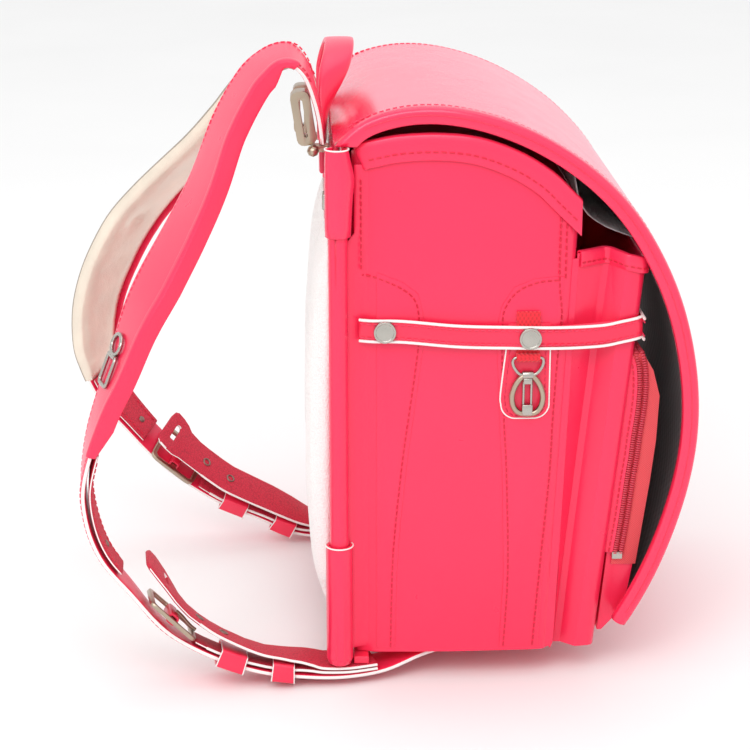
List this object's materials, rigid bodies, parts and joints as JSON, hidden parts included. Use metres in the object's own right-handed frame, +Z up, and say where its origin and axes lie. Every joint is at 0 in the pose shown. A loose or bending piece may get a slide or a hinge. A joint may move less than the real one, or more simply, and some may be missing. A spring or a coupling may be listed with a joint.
{
  "type": "school ransel",
  "caption": "Stiff pink leather school backpack with a long curved flap, padded shoulder straps with buckled belts, a pleated front compartment, a side hook and a top handle.",
  "frame": {"origin": "middle of the footprint's bounding box, on the ground", "axes": "+X from the wearer's back towards the flap, -Y towards the side with the hook, +Z up"},
  "size_m": [0.3924, 0.2666, 0.3837],
  "materials": {
    "leather": "smooth pink artificial leather, semi-gloss",
    "trim_leather": "smooth pink leather trim with white edges",
    "rough_leather": "darker red pebbled leather",
    "gold_leather": "soft champagne gold synthetic leather",
    "white_mesh": "white padded mesh",
    "dark_lining": "dark maroon lining",
    "grey_mesh": "grey mesh",
    "zip_cloth": "salmon red zip tape",
    "webbing": "red ribbed webbing",
    "nickel": "satin nickel",
    "champagne": "champagne gold plated steel"
  },
  "bodies": {
    "ransel": {"back_board": "leather", "top_sleeve_near": "leather", "top_sleeve_far": "leather", "bottom_sleeve_near": "leather", "bottom_sleeve_far": "leather", "main_shell": "leather", "top_binding_near": "leather", "top_binding_far": "leather", "small_compartment": "leather", "zip_pocket": "leather", "shoulder_strap_near": "leather", "shoulder_strap_far": "leather", "keeper_1_near": "leather", "keeper_1_far": "leather", "keeper_2_near": "leather", "keeper_2_far": "leather", "flap": "leather", "flap_tongue": "leather", "handle": "leather", "buckle_wrap_near": "trim_leather", "buckle_wrap_far": "trim_leather", "belt_anchor_near": "trim_leather", "belt_anchor_far": "trim_leather", "side_band": "trim_leather", "hook_tab": "trim_leather", "strap_facing_near": "rough_leather", "strap_facing_far": "rough_leather", "belt_inner_near": "rough_leather", "belt_inner_far": "rough_leather", "belt_tail_near": "rough_leather", "belt_tail_far": "rough_leather", "shoulder_pad_near": "gold_leather", "shoulder_pad_far": "gold_leather", "back_pad": "white_mesh", "flap_lining": "dark_lining", "timetable_pocket": "grey_mesh", "zip_tape": "zip_cloth", "hook_webbing": "webbing", "lock_case": "nickel", "rivet_back_near": "nickel", "rivet_back_far": "nickel", "rivet_front_near": "nickel", "rivet_front_far": "nickel", "hanger_plate": "nickel", "strap_clip_near": "nickel", "strap_clip_far": "nickel", "board_stud_near": "nickel", "board_stud_far": "nickel", "buckle_near": "champagne", "buckle_far": "champagne", "hanger_loop_near": "champagne", "hanger_loop_far": "champagne", "hanger_pin_near": "champagne", "hanger_pin_far": "champagne"},
    "ring": {"hook_ring": "nickel"},
    "hook": {"snap_hook": "nickel"}
  },
  "joints": [
    {"name": "ring_swing", "type": "hinge", "parent": "ransel", "child": "ring", "pos_m": [0.0923, -0.1258, 0.2081], "axis": [-1, 0, 0], "range_deg": [0, 80]},
    {"name": "hook_swing", "type": "hinge", "parent": "ring", "child": "hook", "pos_m": [0.0923, -0.1258, 0.1976], "axis": [-1, 0, 0], "range_deg": [0, 60]}
  ]
}
